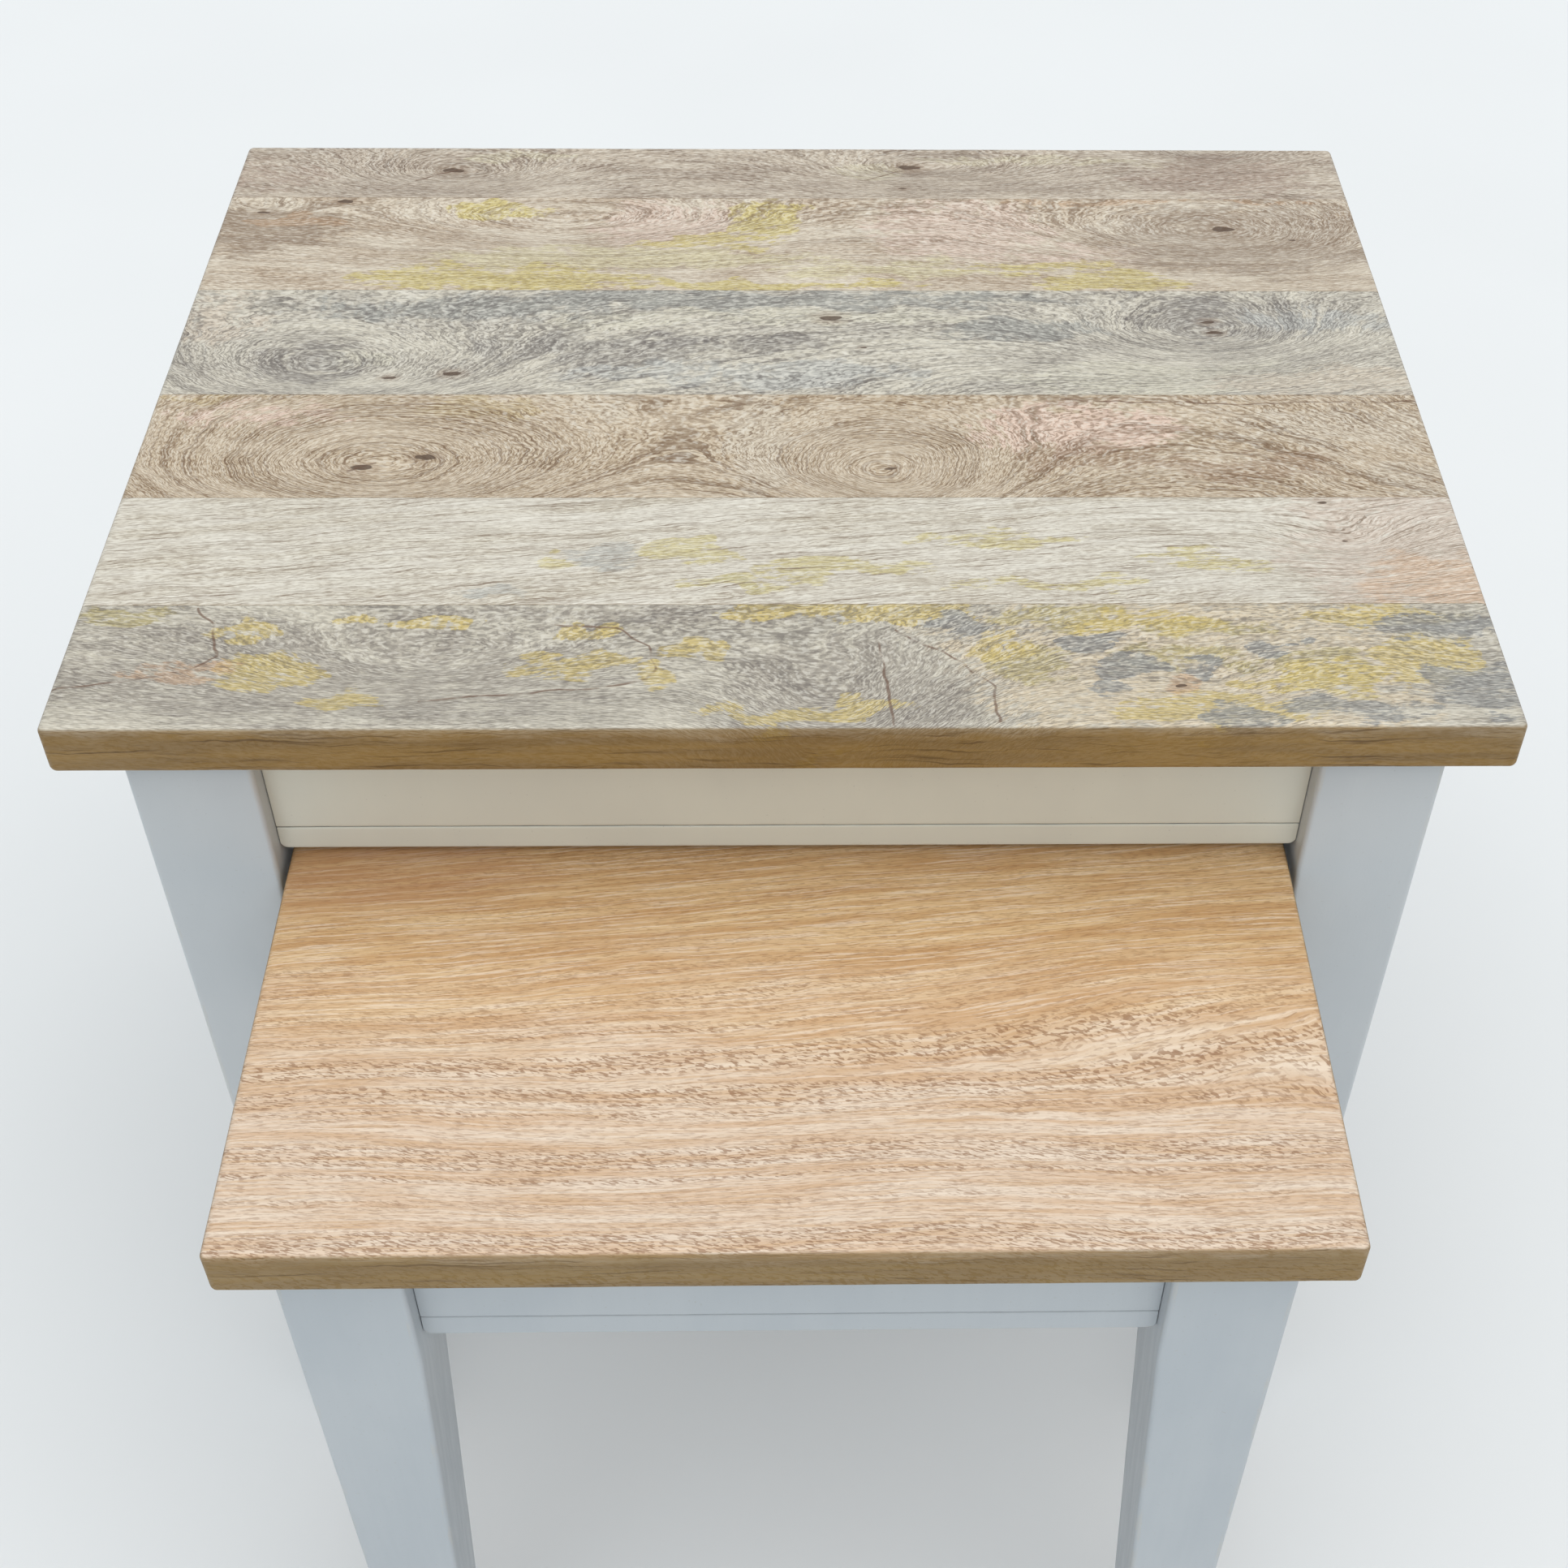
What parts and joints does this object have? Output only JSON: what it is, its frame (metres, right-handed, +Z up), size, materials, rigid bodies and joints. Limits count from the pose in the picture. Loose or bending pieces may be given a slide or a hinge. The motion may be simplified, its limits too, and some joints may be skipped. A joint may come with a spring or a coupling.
{
  "type": "nesting tables",
  "caption": "Nest of side tables: plank tops on painted frames with tapered legs; the smaller table slides out from under the larger one.",
  "frame": {"origin": "on the floor, midway between the outermost edges of the tops in X and in Y, with the small table pulled out as at rest", "axes": "+X to the right as seen from the front, +Y to the back, +Z up; the small table pulls out along -Y"},
  "size_m": [0.56, 0.605, 0.55],
  "materials": {
    "mottled_mango": "clear satin lacquer on spalted mango wood",
    "natural_mango": "clear satin lacquer on plain mango wood",
    "off_white_paint": "satin off-white paint on wood",
    "bare_wood": "planed, unfinished",
    "zinc_steel": "zinc-plated",
    "felt": "pressed felt"
  },
  "bodies": {
    "large_table": {"large_top_stave_1": "mottled_mango", "large_top_stave_2": "mottled_mango", "large_top_stave_3": "mottled_mango", "large_top_stave_4": "mottled_mango", "large_top_stave_5": "mottled_mango", "large_top_stave_6": "mottled_mango", "large_leg_front_left": "off_white_paint", "large_leg_front_right": "off_white_paint", "large_leg_back_left": "off_white_paint", "large_leg_back_right": "off_white_paint", "large_apron_front": "off_white_paint", "large_apron_back": "off_white_paint", "large_apron_left": "off_white_paint", "large_apron_right": "off_white_paint", "large_corner_block_front_left": "bare_wood", "large_corner_block_front_right": "bare_wood", "large_corner_block_back_left": "bare_wood", "large_corner_block_back_right": "bare_wood", "large_leg_bolts": "zinc_steel", "large_leg_washers": "zinc_steel", "large_leg_nuts": "zinc_steel", "large_top_screws": "zinc_steel", "large_top_buttons": "bare_wood", "large_button_screws": "zinc_steel", "large_glide_front_left": "felt", "large_glide_front_right": "felt", "large_glide_back_left": "felt", "large_glide_back_right": "felt"},
    "small_table": {"small_top_front_board": "natural_mango", "small_top_back_board": "natural_mango", "small_leg_front_left": "off_white_paint", "small_leg_front_right": "off_white_paint", "small_leg_back_left": "off_white_paint", "small_leg_back_right": "off_white_paint", "small_apron_front": "off_white_paint", "small_apron_back": "off_white_paint", "small_apron_left": "off_white_paint", "small_apron_right": "off_white_paint", "small_corner_block_front_left": "bare_wood", "small_corner_block_front_right": "bare_wood", "small_corner_block_back_left": "bare_wood", "small_corner_block_back_right": "bare_wood", "small_leg_bolts": "zinc_steel", "small_leg_washers": "zinc_steel", "small_leg_nuts": "zinc_steel", "small_top_screws": "zinc_steel", "small_top_buttons": "bare_wood", "small_button_screws": "zinc_steel", "small_glide_front_left": "felt", "small_glide_front_right": "felt", "small_glide_back_left": "felt", "small_glide_back_right": "felt"}
  },
  "joints": [
    {"name": "small_table_slide", "type": "slide", "parent": "large_table", "child": "small_table", "axis": [0, -1, 0], "range_m": [-0.1845, 0.24]}
  ]
}
